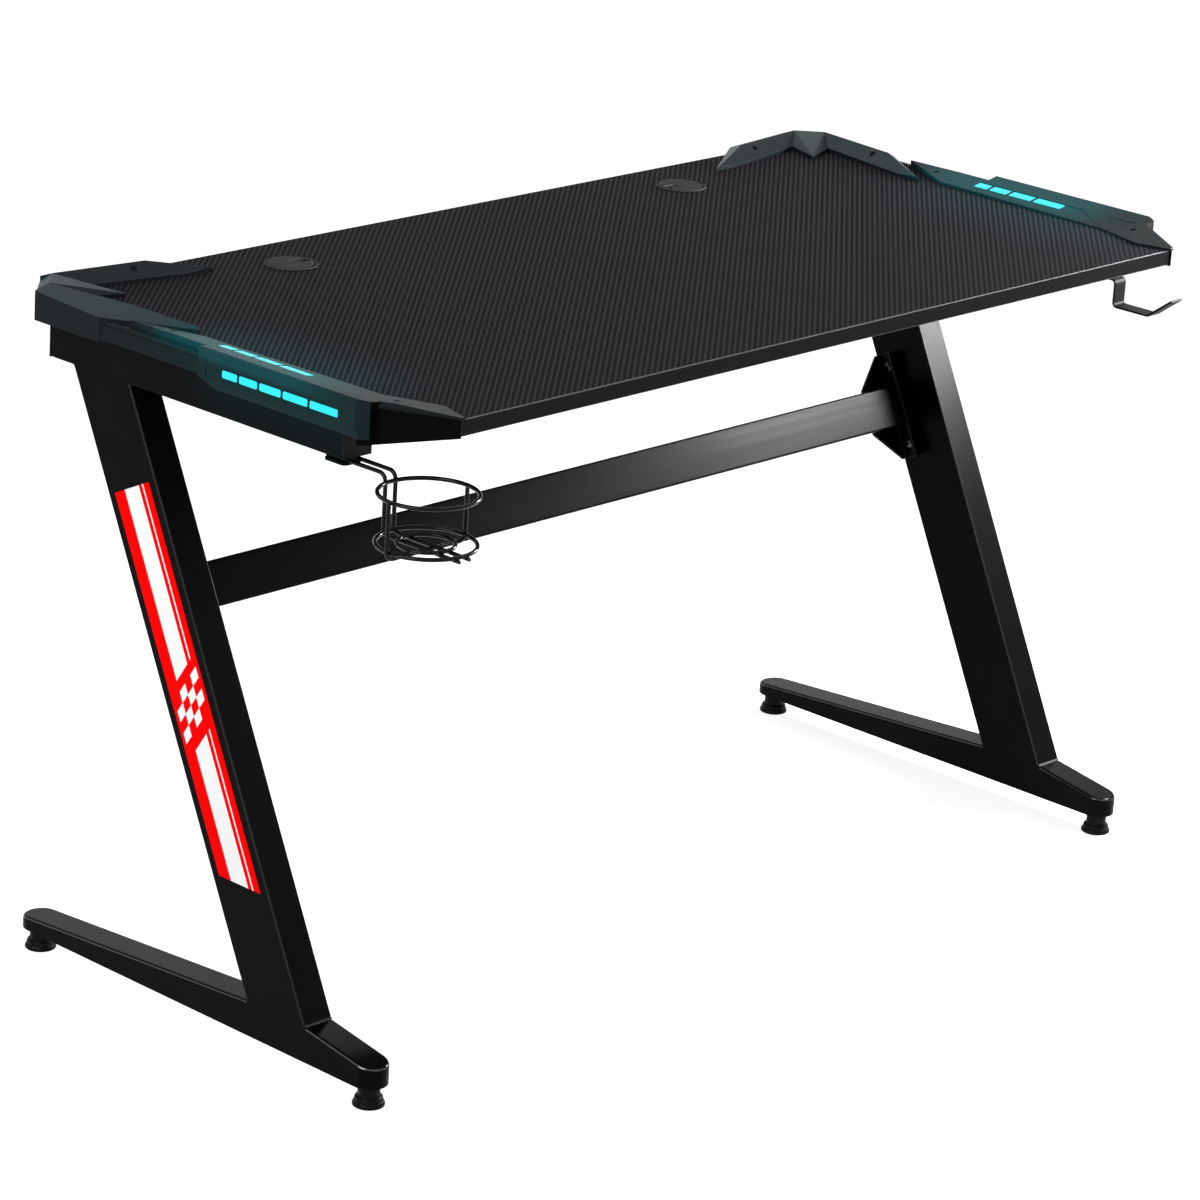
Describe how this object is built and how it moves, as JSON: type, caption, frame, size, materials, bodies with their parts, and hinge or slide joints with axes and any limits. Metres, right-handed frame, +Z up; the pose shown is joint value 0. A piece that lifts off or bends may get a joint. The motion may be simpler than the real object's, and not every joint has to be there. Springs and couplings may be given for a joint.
{
  "type": "gaming desk",
  "caption": "Desk with leaning leg frames, a crossbar and a twill-look top with facetted lit corner trims, cable grommets, a wire cup holder and a headset hook.",
  "frame": {"origin": "on the floor, under the middle of the whole outline", "axes": "+X to the sitter's right, +Y to the back, +Z up"},
  "size_m": [1.3232, 0.6695, 0.767],
  "materials": {
    "black_plastic": "matt black",
    "button_plastic": "matt dark grey",
    "circuit_board": "green solder mask",
    "decal_film": "gloss vinyl, red with white stripes",
    "fastener_steel": "blackened zinc",
    "glide_plastic": "matt black",
    "hook_steel": "satin black powder coat",
    "inlet_metal": "plated",
    "lead_sheath": "black sheath",
    "light_diffuser": "translucent, lit cyan",
    "powder_coated_steel": "satin black powder coat",
    "trim_plastic": "fine grained charcoal",
    "twill_panel": "satin film with a woven twill look on fibreboard"
  },
  "bodies": {
    "frame": {"bracket_bolts": "fastener_steel", "controller_case": "black_plastic", "controller_cover": "black_plastic", "controller_inlet": "inlet_metal", "crossbar": "powder_coated_steel", "cup_holder": "powder_coated_steel", "cup_plate": "powder_coated_steel", "cup_screws": "fastener_steel", "headset_hook": "hook_steel", "hook_screws": "fastener_steel", "lead_clips": "black_plastic", "left_crossbar_bracket": "powder_coated_steel", "left_foot": "powder_coated_steel", "left_glide_bushes": "fastener_steel", "left_grommet_ring": "black_plastic", "left_leg_decal": "decal_film", "left_leg_tube": "powder_coated_steel", "left_light_lead": "lead_sheath", "left_rail_end_caps": "black_plastic", "left_rear_corner_trim": "trim_plastic", "left_side_diffuser": "light_diffuser", "left_side_light_board": "circuit_board", "left_side_trim": "trim_plastic", "left_top_diffuser": "light_diffuser", "left_top_light_board": "circuit_board", "left_top_rail": "powder_coated_steel", "leg_nuts": "fastener_steel", "rail_screws": "fastener_steel", "right_crossbar_bracket": "powder_coated_steel", "right_foot": "powder_coated_steel", "right_glide_bushes": "fastener_steel", "right_grommet_ring": "black_plastic", "right_leg_tube": "powder_coated_steel", "right_light_lead": "lead_sheath", "right_rail_end_caps": "black_plastic", "right_rear_corner_trim": "trim_plastic", "right_side_diffuser": "light_diffuser", "right_side_light_board": "circuit_board", "right_side_trim": "trim_plastic", "right_top_diffuser": "light_diffuser", "right_top_light_board": "circuit_board", "right_top_rail": "powder_coated_steel", "tabletop": "twill_panel", "trim_screws": "fastener_steel"},
    "left_front_glide": {"left_front_glide": "glide_plastic"},
    "left_rear_glide": {"left_rear_glide": "glide_plastic"},
    "left_grommet_cap": {"left_grommet_cap": "black_plastic"},
    "right_front_glide": {"right_front_glide": "glide_plastic"},
    "right_rear_glide": {"right_rear_glide": "glide_plastic"},
    "right_grommet_cap": {"right_grommet_cap": "black_plastic"},
    "controller_button": {"controller_button": "button_plastic"}
  },
  "joints": [
    {"name": "left_front_glide_height", "type": "slide", "parent": "frame", "child": "left_front_glide", "axis": [0, 0, -1], "range_m": [0, 0.005]},
    {"name": "left_rear_glide_height", "type": "slide", "parent": "frame", "child": "left_rear_glide", "axis": [0, 0, -1], "range_m": [0, 0.005]},
    {"name": "left_grommet_turn", "type": "hinge", "parent": "frame", "child": "left_grommet_cap", "pos_m": [-0.30362, 0.24888, 0.75], "axis": [0, 0, 1], "continuous": true},
    {"name": "right_front_glide_height", "type": "slide", "parent": "frame", "child": "right_front_glide", "axis": [0, 0, -1], "range_m": [0, 0.005]},
    {"name": "right_rear_glide_height", "type": "slide", "parent": "frame", "child": "right_rear_glide", "axis": [0, 0, -1], "range_m": [0, 0.005]},
    {"name": "right_grommet_turn", "type": "hinge", "parent": "frame", "child": "right_grommet_cap", "pos_m": [0.33037, 0.24888, 0.75], "axis": [0, 0, 1], "continuous": true},
    {"name": "controller_button_press", "type": "slide", "parent": "frame", "child": "controller_button", "axis": [0, 1, 0], "range_m": [0, 0.0015], "stiffness_N_per_m": 800, "springref_m": -0.001}
  ]
}
